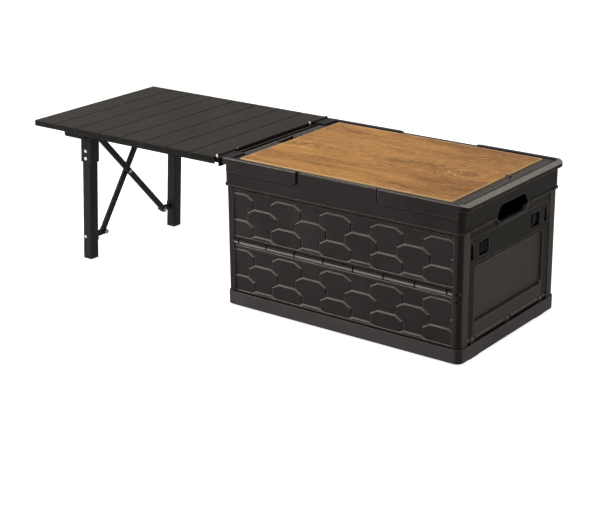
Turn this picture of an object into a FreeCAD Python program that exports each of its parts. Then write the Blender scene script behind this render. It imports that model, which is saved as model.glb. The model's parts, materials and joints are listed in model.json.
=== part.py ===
import FreeCAD, Part
import math
import os

# Camping box table: a folding crate with a wood-topped lid, and a slatted side table hinged to
# its left end on a folding pair of legs. Millimetres, +Z up, +X towards the free end of the crate.
# Shapes are made about the middle of the crate and moved by CRATE_X when they are written,
# so that the origin is under the middle of the whole object.

# Driving dimensions of the crate
RIM_HALF_X = 302.0
RIM_HALF_Y = 197.0
RIM_TOP = 330.5
RIM_LOW = 270.0
FACE_X = 292.0
FACE_Y = 193.5
SHELL = 4.0
LEDGE = (312.0, 316.0)
MOUTH_X = 270.0
MOUTH_Y = 168.0
WELL_X = 287.0
WELL_Y = 187.0
BASE_X = 293.0
BASE_Y = 193.0
BASE_TOP = 33.0
BASE_WALL = 3.5
BASE_CORNER = 15.0
FOOT_RISE = 4.0
FLOOR_TOP = 6.5
FLOOR_RIB = (3.0, 2.0)
FLOOR_RIBS_Y = (-60.0, 60.0)
FLOOR_RIBS_X = (-200.0, -100.0, 100.0, 200.0)
RUNNER_HALF = 292.0
RUNNER_SLOPE = 2.5
RUNNER_Y = (-150.0, -117.0)
POST_X = 290.0
POST_Y = 190.5
POST_BACK = 161.0
POST_CORNER = 12.0

# Long walls and their hinges
PANEL_Y = 185.5
PANEL_THICK = 4.0
PANEL_HALF = 276.0
FRAME_Y = 188.5
FRAME_WIDE = 5.0
MID_HINGE_Z = 148.0
MID_HINGE_IN = 1.0
POST_DOTS_Z = (131.0, 147.5)
POST_DOT = (2.6, 2.0)
POST_DOT_X = 281.0
KNUCKLE_R = 6.0
KNUCKLE_PITCH = 73.9
KNUCKLES = 9
KNUCKLE_GAP = 1.2
HINGE_ROOM = 7.5
POST_ROOM = 0.6
ROD_R = 2.0
FIT = 0.03
RUN = 0.06
EDGE_HINGE_R = 5.0
EDGE_HINGE_Y = 180.5
TOP_HINGE_Z = 282.0
LOW_HINGE_Z = 26.0
EDGE_ROD_HALF = 245.0
LUGS_X = (-140.0, 0.0, 140.0)
LUG_WIDE = 20.0
LUG_ROOM = 1.0
BARRELS_X = (-210.0, -70.0, 70.0, 210.0)
BARREL_LONG = 60.0

# Raised scales of the long walls
TILE_HALF = 40.0
TILE_FLAT = 21.5
TILE_NECK = 22.0
TILE_COLUMN = 62.5
TILE_SHIFT = -9.0
TILE_ROW = 58.8
TILE_SHOULDER = 11.0
TILE_WAIST = 30.0
TILE_TAPER = 41.0
TILE_RISE = 2.6
TILE_RUNOUT = 0.3
TILE_SLOPE = 1.15
TILE_ROOT = 0.5

# End walls and their latches
END_OUT = 288.7
END_PLATE = (283.0, 286.2)
END_HALF = 159.5
END_TOP = 266.0
END_AXIS_X = 283.0
END_AXIS_Z = 38.0
BEARINGS = (-137.0, 0.0, 137.0)
BEARING_WIDE = 14.0
BEARING_ROOM = 4.0
END_PANEL_Y = 136.0
END_PANEL_Z = (75.0, 191.0)
END_PANEL_R = 8.0
END_BAND_Y = 156.0
END_BAND_Z = (199.0, 250.0)
END_BAND_R = 5.0
END_RIB = (2.5, 4.0)
END_RIBS_Y = (-135.0, -64.0, 0.0, 64.0, 135.0)
END_RIBS_Z = (120.0, 203.0)
HAND_ROOM = 1.0
END_FLOOR = (279.6, 282.8)
END_PAN_WALL = 3.0
WINDOW_Y = (83.0, 122.0)
WINDOW_Z = (207.0, 238.0)
SLOT_Y = (140.0, 153.0)
LATCH_Z = 222.5
LATCH_BOLT = (279.2, 282.7)
LATCH_HALF = 6.0
LATCH_TALL = 11.0
LATCH_Y = (80.0, 164.5)
LATCH_PLATE_Y = (90.0, 119.0)
LATCH_TAB_Y = (92.0, 95.0, 108.0)
LATCH_FACE = (284.6, 286.6)
LATCH_PLAY = 0.3
GUIDE_Y = (124.0, 138.0)
GUIDE_WALL = 2.7

# Top frame
LIP_LOW = 318.0
LIP_CORNER = 18.0
LIP_BEVEL = 1.5
LIP_OUT = 325.5
FACE_CORNER = 14.0
INNER_CORNER = 8.0
BEAD_HIGH = 3.5
BEAD_OUT = 2.0
BAND_Z = (301.5, 324.0)
BAND_INSET = 10.0
TONGUE_R = 14.0
FINGER_HALF = 95.0
FINGER_SIDE = 6.0
FINGER_DEEP = 3.0
FINGER_R = 2.5
HOLD_HALF = 64.0
HOLD_FLAT = 50.0
HOLD_Z = (259.0, 272.0, 294.0)
HOLD_RIM = 4.5
HOLD_BEAD = 3.0

# Lid
SCOOP_OUT = -280.0
SCOOP_Y = (-26.0, 29.0)
SCOOP_R = 4.0
LIFT_HOLE = (263.0, 31.0, 8.0)
LID_CORNER = 7.0
POCKET_ROOM = 0.5
LID_HALF_X = 285.5
LID_HALF_Y = 185.5
LID_TOP = 327.0
WOOD_HALF_X = 259.0
WOOD_HALF_Y = 177.0
WOOD_Z = (319.0, 329.5)
WOOD_BEVEL = 1.0

# Side table
TABLE_IN = -311.0
TABLE_HALF_Y = 202.5
TABLE_TOP = 330.0
SLAB = 13.5
SLATS = 8
SLAT_PITCH = 67.2
SLAT_GAP = 1.4
SLAT_WALL = 1.4
SLAT_R = 1.5
CAP_FLANGE = 2.0
CAP_PLUG = 12.0
CAP_ROOM = 0.3
LINK_R = 3.6
LINK_OUT = 1.0
CAP_END = TABLE_HALF_Y - LINK_OUT
RAIL_Y = (178.0, 192.0)
RAIL_DROP = 6.0
RAIL_INSET = (85.0, 7.0)
RAIL_WALL = 2.0
TABLE_AXIS_X = -307.0
TABLE_AXIS_Z = 330.6
PIN_R = 2.0
EYE_R = 3.6
TONGUE_Y = (144.0, 177.0)
TONGUE_LONG = 44.0
TONGUE_THICK = 3.0
EYE_Y = (137.0, 188.0)
EARS_Y = ((131.0, 136.0), (189.0, 194.0))
EAR_R = 3.6
EAR_LOW = 316.0
PIN_Y = (130.5, 194.5)
PIN_HEAD = (3.4, 2.0)
BRACKET_LOW = 308.0
BRACKET_THICK = 3.0
BRACKET_TOP = 325.0
PLATE_OUT = -302.4
PLATE_IN = -273.0
PLATE_Y = (143.0, 194.0)
PLATE_LOW = 327.5
PLATE_ROOM = 1.0
FOOT_ROOM = 0.4

# Folding legs
LEG_X = -727.5
LEG_LEAN = 3.86
LEG_Y = 146.5
LEG_SIZE = 25.0
LEG_WALL = 1.6
LEG_TOP = 280.0
SLEEVE_SIZE = 29.0
SLEEVE_LOW = 237.0
LEG_AXIS_Z = 295.0
LEG_PIN_R = 3.0
CROSS_R = 5.0
STRUT_WIDE = 14.0
STRUT_THICK = 8.0
STRUT_OFFSET = 5.0
STRUT_LOW = (102.5, 53.5)
STRUT_HIGH_Y = {-1: 45.8, 1: -125.8}
STRUT_EDGE = 1.5
COLLAR = (8.5, 24.0)
STRUT_PIN_R = 3.0
STRUT_PIN_HEAD = (5.5, 2.5)
RIVET_R = 2.0
RIVET_HEAD = (4.2, 1.8)
TAB_RIVET_HEAD = (3.6, 1.8)
SLEEVE_RIVETS_Z = (247.0, 265.0)
TAB_FLANGE = 2.5
TAB_HALF = 11.0
TAB_BLADE = (3.4, 0.8)
TAB_ROOM = 0.2
CHEEK_GAP = SLEEVE_SIZE / 2 + 2
CHEEK = 2.0
LEG_BRACKET_X = (LEG_X - 63, LEG_X + 19)
LEG_BRACKET_LOW = 293.0
LEG_BRACKET_R = 5.0
LEG_BRACKET_LIP = 6.0
LEG_BRACKET_PLATE = 3.0
PIVOT_HEAD = (5.5, 2.2)
PIVOT_REACH = 32.0
LEG_CORNER = 2.0
FOOT_PLUG = 16.0
FOOT_SPARE = 2.5

SLAB_LOW = TABLE_TOP - SLAB
TABLE_OUT = TABLE_IN - SLATS * SLAT_PITCH + SLAT_GAP
CRATE_X = -(TABLE_OUT + RIM_HALF_X) / 2
V = FreeCAD.Vector
X_AXIS = V(1, 0, 0)
Y_AXIS = V(0, 1, 0)
Z_AXIS = V(0, 0, 1)


def block(x, y, z):
    """A box between pairs of limits."""
    low = [min(pair) for pair in (x, y, z)]
    size = [abs(pair[1] - pair[0]) for pair in (x, y, z)]
    return Part.makeBox(*size, V(*low))


def edges_along(shape, axis):
    """The straight edges of a shape that run along an axis."""
    found = []
    for edge in shape.Edges:
        if isinstance(edge.Curve, Part.Line) and abs(edge.Curve.Direction.dot(axis)) > 0.999:
            found.append(edge)
    return found


def rounded(half_x, half_y, radius, z):
    """An upright slab about the crate's middle with rounded corners."""
    slab = block((-half_x, half_x), (-half_y, half_y), z)
    return slab.makeFillet(radius, edges_along(slab, Z_AXIS))


def prism(points, way):
    """A straight-sided solid from an outline and an extrusion vector."""
    return Part.Face(Part.makePolygon(points + points[:1])).extrude(way)


def rod(radius, start, end):
    """A round bar between two points."""
    way = V(*end) - V(*start)
    return Part.makeCylinder(radius, way.Length, V(*start), way)


def joined(shapes):
    """One solid from several that touch or overlap."""
    shapes = list(shapes)
    return shapes[0].multiFuse(shapes[1:]).removeSplitter()


def without(shape, cutters):
    """A solid with several others taken out of it."""
    return shape.cut(list(cutters))


def turned(shape):
    """A copy turned half round about the crate's upright middle."""
    copy = shape.copy()
    copy.rotate(V(0, 0, 0), Z_AXIS, 180)
    return copy


def mirrored(shape):
    """A copy on the other long side."""
    return shape.mirror(V(0, 0, 0), Y_AXIS)


def mirror_x(shape):
    """A copy at the other end of the crate."""
    return shape.mirror(V(0, 0, 0), X_AXIS)


def edge_rod(radius, z):
    """The bar along the foot or the top edge of the front wall."""
    return rod(radius, (-EDGE_ROD_HALF, -EDGE_HINGE_Y, z), (EDGE_ROD_HALF, -EDGE_HINGE_Y, z))


def mid_rod(radius):
    """The bar through the middle hinge of the front wall."""
    y = -PANEL_Y + MID_HINGE_IN
    return rod(radius, (-PANEL_HALF, y, MID_HINGE_Z), (PANEL_HALF, y, MID_HINGE_Z))


def end_rod(radius):
    """The bar along the foot of the right end wall."""
    return rod(radius, (END_AXIS_X, -END_HALF, END_AXIS_Z), (END_AXIS_X, END_HALF, END_AXIS_Z))


def save(name, shape):
    """Write one piece, moved to the object's own origin."""
    placed = shape.copy()
    placed.translate(V(CRATE_X, 0, 0))
    placed.exportStep("parts/" + name + ".step")


# Base tray with runners, hinge bearings for the end walls and lugs for the long walls


def end_bearing(y):
    """A bearing block at the right end that holds the end wall's rod."""
    across = (y - BEARING_WIDE / 2, y + BEARING_WIDE / 2)
    stem = block((END_AXIS_X - 5, BASE_X - 2), across, (FLOOR_TOP - 1, BASE_TOP - 3))
    neck = block((END_AXIS_X - 5, END_AXIS_X + 5), across, (FLOOR_TOP, END_AXIS_Z))
    head = rod(KNUCKLE_R, (END_AXIS_X, across[0], END_AXIS_Z), (END_AXIS_X, across[1], END_AXIS_Z))
    return joined([stem, neck, head])


def base_lug(x):
    """A front lug that holds the rod at the foot of a long wall."""
    along = (x - LUG_WIDE / 2, x + LUG_WIDE / 2)
    stem = block(along, (-EDGE_HINGE_Y - 4, -EDGE_HINGE_Y + 4), (FLOOR_TOP - 1, LOW_HINGE_Z))
    eye = rod(EDGE_HINGE_R, (along[0], -EDGE_HINGE_Y, LOW_HINGE_Z), (along[1], -EDGE_HINGE_Y, LOW_HINGE_Z))
    return joined([stem, eye])


def runner():
    """A front runner under the base, with sloped ends."""
    flat = RUNNER_HALF - RUNNER_SLOPE
    half = [(RUNNER_HALF, FOOT_RISE + 1), (RUNNER_HALF, FOOT_RISE), (flat, 0)]
    outline = half + [(-x, z) for x, z in reversed(half)]
    points = [V(x, RUNNER_Y[0], z) for x, z in outline]
    return prism(points, V(0, RUNNER_Y[1] - RUNNER_Y[0], 0))


def base_tray():
    tray = rounded(BASE_X, BASE_Y, BASE_CORNER, (FOOT_RISE, BASE_TOP))
    inside = (BASE_X - BASE_WALL, BASE_Y - BASE_WALL, BASE_CORNER - BASE_WALL)
    adds = [tray.cut(rounded(*inside, (FLOOR_TOP, BASE_TOP + 1)))]
    for y in BEARINGS:
        adds += [end_bearing(y), turned(end_bearing(y))]
    for x in LUGS_X:
        adds += [base_lug(x), turned(base_lug(x))]
    adds += [runner(), turned(runner())]
    rib, rise = FLOOR_RIB[0] / 2, (FLOOR_TOP - 1, FLOOR_TOP + FLOOR_RIB[1])
    for y in FLOOR_RIBS_Y:
        adds.append(block((-EDGE_ROD_HALF, EDGE_ROD_HALF), (y - rib, y + rib), rise))
    for x in FLOOR_RIBS_X:
        adds.append(block((x - rib, x + rib), (RUNNER_Y[0], -RUNNER_Y[0]), rise))
    bores = [edge_rod(ROD_R + FIT, LOW_HINGE_Z), turned(edge_rod(ROD_R + FIT, LOW_HINGE_Z))]
    bores += [end_rod(ROD_R + FIT), turned(end_rod(ROD_R + FIT))]
    return without(joined(adds), bores)


# Long walls: each side has a lower and an upper half on a segmented hinge


def tile_form(x, top):
    """One scale, wide at the shoulders and narrow at the neck, drawn in by its sloped edges."""
    half = [(TILE_FLAT, 0), (TILE_HALF, -TILE_SHOULDER), (TILE_HALF, -TILE_WAIST),
            (TILE_NECK, -TILE_TAPER), (TILE_NECK, -TILE_ROW - 1)]
    root, high = -PANEL_Y + TILE_ROOT, TILE_ROOT + TILE_RISE + 1
    right = [V(x + a, root, top + b) for a, b in half]
    left = [V(x - a, root, top + b) for a, b in reversed(half)]
    base = Part.makePolygon(right + left + right[:1])
    crown = Part.Face(base).makeOffset2D(-TILE_SLOPE * high, 2).OuterWire
    crown.translate(V(0, -high, 0))
    return Part.makeLoft([base, crown], True, True)


def tile_row(top, columns):
    """A row of scales, each proud at its top edge and flush at its foot."""
    foot = top - TILE_ROW - 1
    slope = [V(-PANEL_HALF, -PANEL_Y + TILE_ROOT, top), V(-PANEL_HALF, -PANEL_Y - TILE_RISE, top),
             V(-PANEL_HALF, -PANEL_Y - TILE_RUNOUT, foot), V(-PANEL_HALF, -PANEL_Y + TILE_ROOT, foot)]
    wedge = prism(slope, V(2 * PANEL_HALF, 0, 0))
    return [wedge.common(tile_form(k * TILE_COLUMN + TILE_SHIFT, top)) for k in columns]


def scales(z):
    """All the scales inside one wall half's frame."""
    even, odd = (-4, -2, 0, 2, 4), (-3, -1, 1, 3, 5)
    top = z[1] - 3
    rows = []
    while top > z[0]:
        rows += tile_row(top, even)
        top -= TILE_ROW
    top = z[1] - 3 + TILE_ROW / 2
    while top > z[0]:
        rows += tile_row(top, odd)
        top -= TILE_ROW
    window = block((-PANEL_HALF + FRAME_WIDE - 1, PANEL_HALF - FRAME_WIDE + 1), (-FRAME_Y, -PANEL_Y + TILE_ROOT),
                   (z[0] - 1, z[1] + 1))
    inside = [tile.common(window) for tile in rows]
    return [tile for tile in inside if tile.Volume > 1]


def post(z):
    """The right front corner post: an angle with a rounded outer corner."""
    thick, inner = SHELL, PANEL_HALF - 4
    outer = block((inner, POST_X), (-POST_Y, -POST_BACK), z)
    corner = [edge for edge in edges_along(outer, Z_AXIS)
              if edge.CenterOfMass.x > POST_X - 1 and edge.CenterOfMass.y < -POST_Y + 1]
    outer = outer.makeFillet(POST_CORNER, corner)
    hollow = block((inner - 1, POST_X - thick), (-POST_Y + thick, -POST_BACK + 1), (z[0] - 1, z[1] + 1))
    rib = block((inner, inner + 5), (-POST_Y + 1, -PANEL_Y + PANEL_THICK), z)
    return joined([outer.cut(hollow), rib])


def knuckle_span(index):
    """Where one knuckle of the middle hinge starts and ends along X."""
    edge = (KNUCKLES - 2) / 2 * KNUCKLE_PITCH
    limit = PANEL_HALF - FRAME_WIDE
    start = max(-limit, -edge + (index - 1) * KNUCKLE_PITCH)
    end = min(limit, -edge + index * KNUCKLE_PITCH)
    return start + KNUCKLE_GAP / 2, end - KNUCKLE_GAP / 2


def knuckle(index, toward):
    """One knuckle of the middle hinge, with the web to its wall half above (1) or below (-1)."""
    x = knuckle_span(index)
    y = -PANEL_Y + MID_HINGE_IN
    barrel = rod(KNUCKLE_R, (x[0], y, MID_HINGE_Z), (x[1], y, MID_HINGE_Z))
    web = block(x, (y - 1, y + 3), (MID_HINGE_Z, MID_HINGE_Z + toward * (KNUCKLE_R + 2)))
    return [barrel, web]


def edge_barrels(z, toward):
    """The barrels at a long wall's top or bottom edge, and the webs that carry them."""
    pieces = []
    for x in BARRELS_X:
        span = (x - BARREL_LONG / 2, x + BARREL_LONG / 2)
        pieces.append(rod(EDGE_HINGE_R, (span[0], -EDGE_HINGE_Y, z), (span[1], -EDGE_HINGE_Y, z)))
        pieces.append(block(span, (-PANEL_Y, -PANEL_Y + PANEL_THICK), (z, z + toward * 12)))
    return pieces


def wall_half(plate_z, frame_z, post_z, odd, edge_z, toward_edge):
    """A front wall half: plate, frame, scales, corner posts and its share of the hinges."""
    plate = block((-PANEL_HALF, PANEL_HALF), (-PANEL_Y, -PANEL_Y + PANEL_THICK), plate_z)
    outer = (frame_z[0] - FRAME_WIDE + 1, frame_z[1] + FRAME_WIDE - 1)
    frame = block((-PANEL_HALF - 2, PANEL_HALF + 2), (-FRAME_Y, -PANEL_Y + 1), outer)
    hole = block((-PANEL_HALF + FRAME_WIDE, PANEL_HALF - FRAME_WIDE), (-FRAME_Y - 1, -PANEL_Y + 2), frame_z)
    pieces = [plate, frame.cut(hole), post(post_z), mirror_x(post(post_z))]
    pieces += scales(frame_z)
    pieces += edge_barrels(edge_z, -toward_edge)
    for index in range(KNUCKLES):
        if index % 2 == odd:
            pieces += knuckle(index, toward_edge)
    cuts = [mid_rod(ROD_R + FIT), edge_rod(ROD_R + FIT, edge_z)]
    room = LUG_WIDE / 2 + LUG_ROOM
    reach = EDGE_HINGE_R + LUG_ROOM
    for x in LUGS_X:
        cuts.append(block((x - room, x + room), (-PANEL_Y - 1, 0), (edge_z - reach, edge_z + reach)))
    for z in POST_DOTS_Z:
        for x in (-POST_DOT_X, POST_DOT_X):
            cuts.append(rod(POST_DOT[0], (x, -POST_Y - 1, z), (x, -POST_Y + POST_DOT[1], z)))
    return without(joined(pieces), cuts)


def long_walls():
    above, below = MID_HINGE_Z + HINGE_ROOM, MID_HINGE_Z - HINGE_ROOM
    upper = wall_half((above, TOP_HINGE_Z), (above + FRAME_WIDE, RIM_LOW - 2 * FRAME_WIDE),
                      (MID_HINGE_Z + POST_ROOM, RIM_LOW), 1, TOP_HINGE_Z, 1)
    lower = wall_half((LOW_HINGE_Z, below), (BASE_TOP + FRAME_WIDE, below - FRAME_WIDE),
                      (BASE_TOP, MID_HINGE_Z - POST_ROOM), 0, LOW_HINGE_Z, -1)
    save("front_wall_upper", upper)
    save("front_wall_lower", lower)
    save("back_wall_upper", turned(upper))
    save("back_wall_lower", turned(lower))
    rods = {"mid": mid_rod(ROD_R), "top": edge_rod(ROD_R, TOP_HINGE_Z), "base": edge_rod(ROD_R, LOW_HINGE_Z)}
    for name, shape in rods.items():
        save("front_" + name + "_hinge_rod", shape)
        save("back_" + name + "_hinge_rod", turned(shape))


# End walls, which fold inward on rods in the base


def end_barrels():
    """The stretches of barrel between the bearings at the foot of the right end wall."""
    gap = BEARING_WIDE / 2 + BEARING_ROOM
    stops = [-END_HALF]
    for y in BEARINGS:
        stops += [y - gap, y + gap]
    stops.append(END_HALF)
    pieces = []
    for start, end in zip(stops[0::2], stops[1::2]):
        pieces.append(rod(KNUCKLE_R, (END_AXIS_X, start, END_AXIS_Z), (END_AXIS_X, end, END_AXIS_Z)))
        pieces.append(block(END_PLATE, (start, end), (END_AXIS_Z, END_AXIS_Z + KNUCKLE_R + 4)))
    return pieces


def end_wall():
    """The right end wall: a recessed plate in a frame, with ribs, latch windows and a hand notch."""
    low = END_AXIS_Z + KNUCKLE_R + 2
    skin = block((END_PLATE[0], END_OUT), (-END_HALF, END_HALF), (low, END_TOP))
    panel = block((END_FLOOR[1], END_OUT + 1), (-END_PANEL_Y, END_PANEL_Y), END_PANEL_Z)
    panel = panel.makeFillet(END_PANEL_R, edges_along(panel, X_AXIS))
    band = block((END_OUT - 1, END_OUT + 1), (-END_BAND_Y, END_BAND_Y), END_BAND_Z)
    band = band.makeFillet(END_BAND_R, edges_along(band, X_AXIS))
    edge = END_PAN_WALL
    pan = block((END_FLOOR[0], END_PLATE[1]), (-END_PANEL_Y - edge, END_PANEL_Y + edge),
                (END_PANEL_Z[0] - edge, END_PANEL_Z[1] + edge))
    pieces = [skin, pan]
    rib, rib_x = END_RIB[0] / 2, (END_FLOOR[0] - END_RIB[1], END_PLATE[0] + 1)
    for y in END_RIBS_Y:
        pieces.append(block(rib_x, (y - rib, y + rib), (low, END_RIBS_Z[-1])))
    for z in (low + rib,) + END_RIBS_Z:
        pieces.append(block(rib_x, (-END_HALF + 2, END_HALF - 2), (z - rib, z + rib)))
    for side in (-1, 1):
        pieces += latch_guide(side)
    pieces += end_barrels()
    cuts = [panel, band, hold_outline(HAND_ROOM, rib_x[0] - 1, END_OUT - rib_x[0] + 2)]
    for side in (-1, 1):
        for y in (WINDOW_Y, SLOT_Y):
            cuts.append(block((END_PLATE[0] - 0.1, END_OUT + 1), (side * y[0], side * y[1]), WINDOW_Z))
    cuts.append(end_rod(ROD_R + RUN))
    return without(joined(pieces), cuts)


def latch_guide(side):
    """The rails and the strap behind the end wall that a latch slides in."""
    y = (side * GUIDE_Y[0], side * GUIDE_Y[1])
    inside = LATCH_HALF + LATCH_PLAY
    outside = inside + GUIDE_WALL
    back = LATCH_BOLT[0] - LATCH_PLAY - GUIDE_WALL
    over = block((back, END_PLATE[0] + 1), y, (LATCH_Z + inside, LATCH_Z + outside))
    under = block((back, END_PLATE[0] + 1), y, (LATCH_Z - outside, LATCH_Z - inside))
    strap = block((back, back + GUIDE_WALL), y, (LATCH_Z - outside, LATCH_Z + outside))
    return [over, under, strap]


def latch(side):
    """A sliding bolt with the finger tab that shows in the window of the right end wall."""
    low = (LATCH_Z - LATCH_HALF, LATCH_Z + LATCH_HALF)
    tall = (LATCH_Z - LATCH_TALL, LATCH_Z + LATCH_TALL)
    bolt = block(LATCH_BOLT, (side * LATCH_Y[0], side * LATCH_Y[1]), low)
    plate = block(LATCH_BOLT, (side * LATCH_PLATE_Y[0], side * LATCH_PLATE_Y[1]), tall)
    near, rim, far = [side * y for y in LATCH_TAB_Y]
    back = LATCH_BOLT[1] - 1
    tab = block((back, LATCH_FACE[0]), (near, far), (tall[0] + 2, tall[1] - 2))
    grip = block((back, LATCH_FACE[1]), (near, rim), tall)
    return joined([bolt, plate, tab, grip])


def end_walls():
    wall = end_wall()
    save("right_end_wall", wall)
    save("left_end_wall", turned(wall))
    save("right_wall_hinge_rod", end_rod(ROD_R))
    save("left_wall_hinge_rod", turned(end_rod(ROD_R)))
    save("right_front_latch", latch(-1))
    save("right_back_latch", latch(1))
    save("left_front_latch", turned(latch(1)))
    save("left_back_latch", turned(latch(-1)))


# Top frame: skirt, lid well, lips, finger cut-outs and hand-holds


def hold_outline(grow, x, length):
    """The long six-sided hand-hold, grown by a margin, as a bar along X."""
    half, flat = HOLD_HALF + 1.3 * grow, HOLD_FLAT + 0.8 * grow
    low, mid, high = HOLD_Z[0] - grow, HOLD_Z[1], HOLD_Z[2] + grow
    points = [(-half, mid), (-flat, low), (flat, low), (half, mid), (flat, high), (-flat, high)]
    return prism([V(x, y, z) for y, z in points], V(length, 0, 0))


def hold_tab():
    """The tongue of the right skirt below its edge that frames the hand-hold, with its bead."""
    below = block((0, 2 * FACE_X), (-FINGER_HALF, FINGER_HALF), (0, RIM_LOW + BEAD_HIGH))
    tongue = hold_outline(HOLD_RIM, FACE_X - 3, 3).common(below)
    bead = hold_outline(HOLD_RIM, FACE_X - 1, 1 + BEAD_OUT)
    bead = bead.cut(hold_outline(HOLD_RIM - HOLD_BEAD, FACE_X - 2, 2 * HOLD_RIM)).common(below)
    return [tongue, bead]


def long_lip(side):
    """The proud band along the front of the skirt on one side of the finger cut-out."""
    start, end = side * (FINGER_HALF + FINGER_SIDE), side * (FACE_X - BAND_INSET)
    outline = block((start, end), (-RIM_HALF_Y, -FACE_Y + 1), BAND_Z)
    tongue = [edge for edge in edges_along(outline, Y_AXIS)
              if abs(edge.CenterOfMass.x - start) < 1 and edge.CenterOfMass.z < BAND_Z[0] + 1]
    return outline.makeFillet(TONGUE_R, tongue)


def frame_lug(x):
    """A front lug under the ledge that carries the rod at the top of a long wall."""
    along = (x - LUG_WIDE / 2, x + LUG_WIDE / 2)
    stem = block(along, (-EDGE_HINGE_Y - 4, -EDGE_HINGE_Y + 4), (TOP_HINGE_Z, LEDGE[0] + 1))
    eye = rod(EDGE_HINGE_R, (along[0], -EDGE_HINGE_Y, TOP_HINGE_Z), (along[1], -EDGE_HINGE_Y, TOP_HINGE_Z))
    return joined([stem, eye])


def finger_cut():
    """What is cut from the front of the frame between its two bands: the lip, and a dip in the edge."""
    wide = FINGER_HALF + FINGER_SIDE
    face = block((-wide, wide), (-RIM_HALF_Y - 1, -FACE_Y), (BAND_Z[0], RIM_TOP + 1))
    dip = block((-FINGER_HALF, FINGER_HALF), (-RIM_HALF_Y - 1, -WELL_Y + 2),
                (RIM_TOP - FINGER_DEEP, RIM_TOP + FINGER_DEEP))
    low = [edge for edge in edges_along(dip, Y_AXIS) if edge.CenterOfMass.z < RIM_TOP]
    return [face, dip.makeFillet(FINGER_R, low)]


def bottom_bead():
    """The bead round the skirt's lower edge, open at the ends where the hand-holds are."""
    bead = rounded(FACE_X + BEAD_OUT, FACE_Y + BEAD_OUT, FACE_CORNER + 1, (RIM_LOW, RIM_LOW + BEAD_HIGH))
    gap = block((FACE_X, FACE_X + 10), (-HOLD_HALF - HOLD_RIM, HOLD_HALF + HOLD_RIM), (RIM_LOW - 1, BAND_Z[0]))
    return without(bead, [gap, turned(gap)])


def end_slope():
    """What is cut from the right end of the lip, so that its top falls from the well to the outer edge."""
    far, fall = RIM_HALF_X + 1, (RIM_TOP - LIP_OUT) / (RIM_HALF_X - WELL_X)
    points = [V(WELL_X, -FACE_X, RIM_TOP), V(far, -FACE_X, LIP_OUT - fall), V(far, -FACE_X, RIM_TOP)]
    return prism(points, V(0, 2 * FACE_X, 0))


def top_frame():
    lip = rounded(RIM_HALF_X, RIM_HALF_Y, LIP_CORNER, (LIP_LOW, RIM_TOP))
    crown = [edge for edge in lip.Edges if edge.BoundBox.ZMin > RIM_TOP - 0.1]
    pieces = [rounded(FACE_X, FACE_Y, FACE_CORNER, (RIM_LOW, RIM_TOP)),
              lip.makeChamfer(LIP_BEVEL, crown),
              bottom_bead()]
    for side in (-1, 1):
        pieces += [long_lip(side), turned(long_lip(side))]
    for tab in hold_tab():
        pieces += [tab, turned(tab)]
    hole = hold_outline(0, FACE_X - 10, 20)
    cuts = [rounded(FACE_X - SHELL, FACE_Y - SHELL, FACE_CORNER - SHELL, (HOLD_Z[0] - 9, LEDGE[0])),
            rounded(MOUTH_X, MOUTH_Y, INNER_CORNER, (LEDGE[0] - 1, LEDGE[1] + 1)),
            rounded(WELL_X, WELL_Y, INNER_CORNER, (LEDGE[1], RIM_TOP + 1)),
            hole, turned(hole), end_slope(), turned(end_slope()), plate_seat(), mirrored(plate_seat())]
    for cut in finger_cut():
        cuts += [cut, turned(cut)]
    hollow = without(joined(pieces), cuts)
    lugs = []
    for x in LUGS_X:
        lugs += [frame_lug(x), turned(frame_lug(x))]
    bore = edge_rod(ROD_R + FIT, TOP_HINGE_Z)
    return without(joined([hollow] + lugs), [bore, turned(bore)])


# Lid: a plastic tray that drops into the well, with a wood board let into it


def lid_tray():
    """The tray: a pocket for the board, a finger scoop, a lift hole, and corners cut for the hinge plates."""
    tray = rounded(LID_HALF_X, LID_HALF_Y, LID_CORNER, (LEDGE[1], LID_TOP))
    half_x, half_y = WOOD_HALF_X + POCKET_ROOM, WOOD_HALF_Y + POCKET_ROOM
    cuts = [block((-half_x, half_x), (-half_y, half_y), (WOOD_Z[0], RIM_TOP))]
    scoop = block((SCOOP_OUT, -WOOD_HALF_X), SCOOP_Y, (WOOD_Z[0], RIM_TOP))
    cuts += [scoop.makeFillet(SCOOP_R, edges_along(scoop, Z_AXIS)), lift_hole()]
    for side in (-1, 1):
        y = (side * (PLATE_Y[0] - PLATE_ROOM), side * WELL_Y)
        cuts.append(block((-WELL_X, PLATE_IN + PLATE_ROOM), y, (LEDGE[0], RIM_TOP)))
    return without(tray, cuts)


def lift_hole():
    """The hole for a fingertip at the right edge of the board."""
    x, y, radius = LIFT_HOLE
    return rod(radius, (x, y, LEDGE[0]), (x, y, RIM_TOP))


def wood_board():
    board = block((-WOOD_HALF_X, WOOD_HALF_X), (-WOOD_HALF_Y, WOOD_HALF_Y), WOOD_Z)
    top = [edge for edge in board.Edges if edge.BoundBox.ZMin > WOOD_Z[1] - 0.1]
    return board.makeChamfer(WOOD_BEVEL, top).cut(lift_hole())


# Side table: tube slats with linked end caps, rails under them, and hinge arms


def slat_x(index):
    """Where one slat starts and ends along X, counted from the crate."""
    inner = TABLE_IN - index * SLAT_PITCH
    return inner - SLAT_PITCH + SLAT_GAP, inner


def slat(index):
    x = slat_x(index)
    half = CAP_END - CAP_FLANGE
    tube = block(x, (-half, half), (SLAB_LOW, TABLE_TOP))
    tube = tube.makeFillet(SLAT_R, edges_along(tube, Y_AXIS))
    bore = block((x[0] + SLAT_WALL, x[1] - SLAT_WALL), (-half - 1, half + 1),
                 (SLAB_LOW + SLAT_WALL, TABLE_TOP - SLAT_WALL))
    return tube.cut(bore)


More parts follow.
